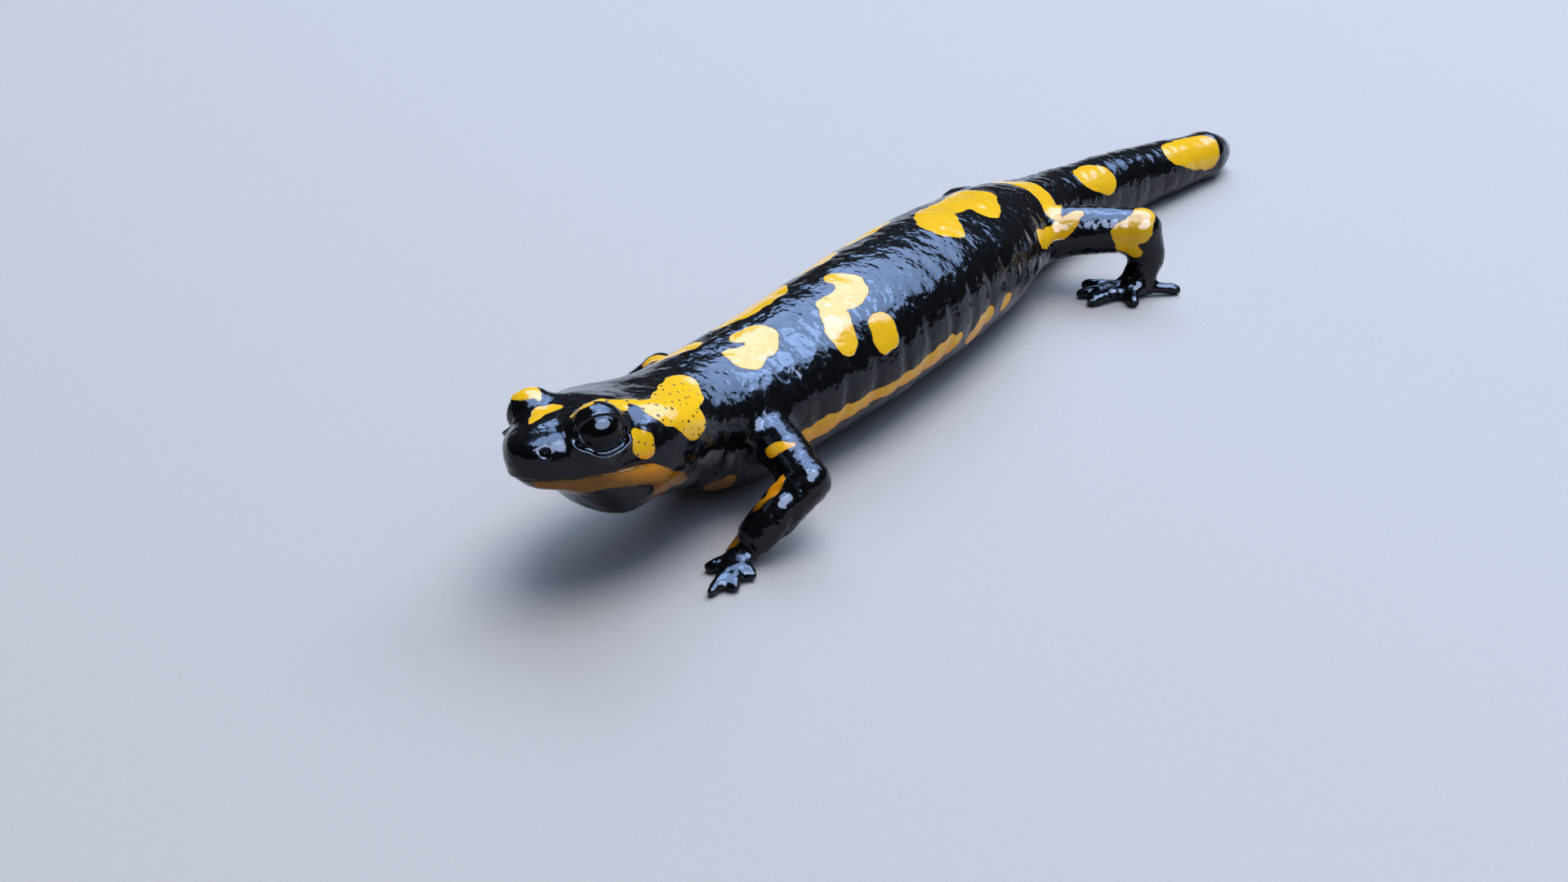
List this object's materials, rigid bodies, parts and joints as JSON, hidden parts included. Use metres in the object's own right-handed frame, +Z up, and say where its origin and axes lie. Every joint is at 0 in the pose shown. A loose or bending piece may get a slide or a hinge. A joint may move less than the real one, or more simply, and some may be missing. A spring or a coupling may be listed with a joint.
{
  "type": "fire salamander",
  "caption": "Life-size still model of a fire salamander standing on its feet and tail, head raised, black skin with yellow markings.",
  "frame": {"origin": "on the floor, under the middle of the whole animal's box", "axes": "+Z up, head towards -Y, the animal's left side towards +X, the tail towards +Y"},
  "size_m": [0.0498, 0.1642, 0.0235],
  "materials": {
    "wet_skin": "wet glossy black skin, finely pitted, with blotches of bright yellow that turn orange low on the sides",
    "eye": "wet black eyeball with a very dark brown iris"
  },
  "bodies": {
    "root": {"head": "wet_skin", "jaw": "wet_skin", "neck": "wet_skin", "torso_front": "wet_skin", "torso_rear": "wet_skin", "tail_base": "wet_skin", "tail_middle": "wet_skin", "tail_tip": "wet_skin", "upper_arm_left": "wet_skin", "forearm_left": "wet_skin", "hand_left": "wet_skin", "thigh_left": "wet_skin", "shank_left": "wet_skin", "foot_left": "wet_skin", "upper_arm_right": "wet_skin", "forearm_right": "wet_skin", "hand_right": "wet_skin", "thigh_right": "wet_skin", "shank_right": "wet_skin", "foot_right": "wet_skin", "eye_left": "eye", "eye_right": "eye"}
  },
  "joints": []
}
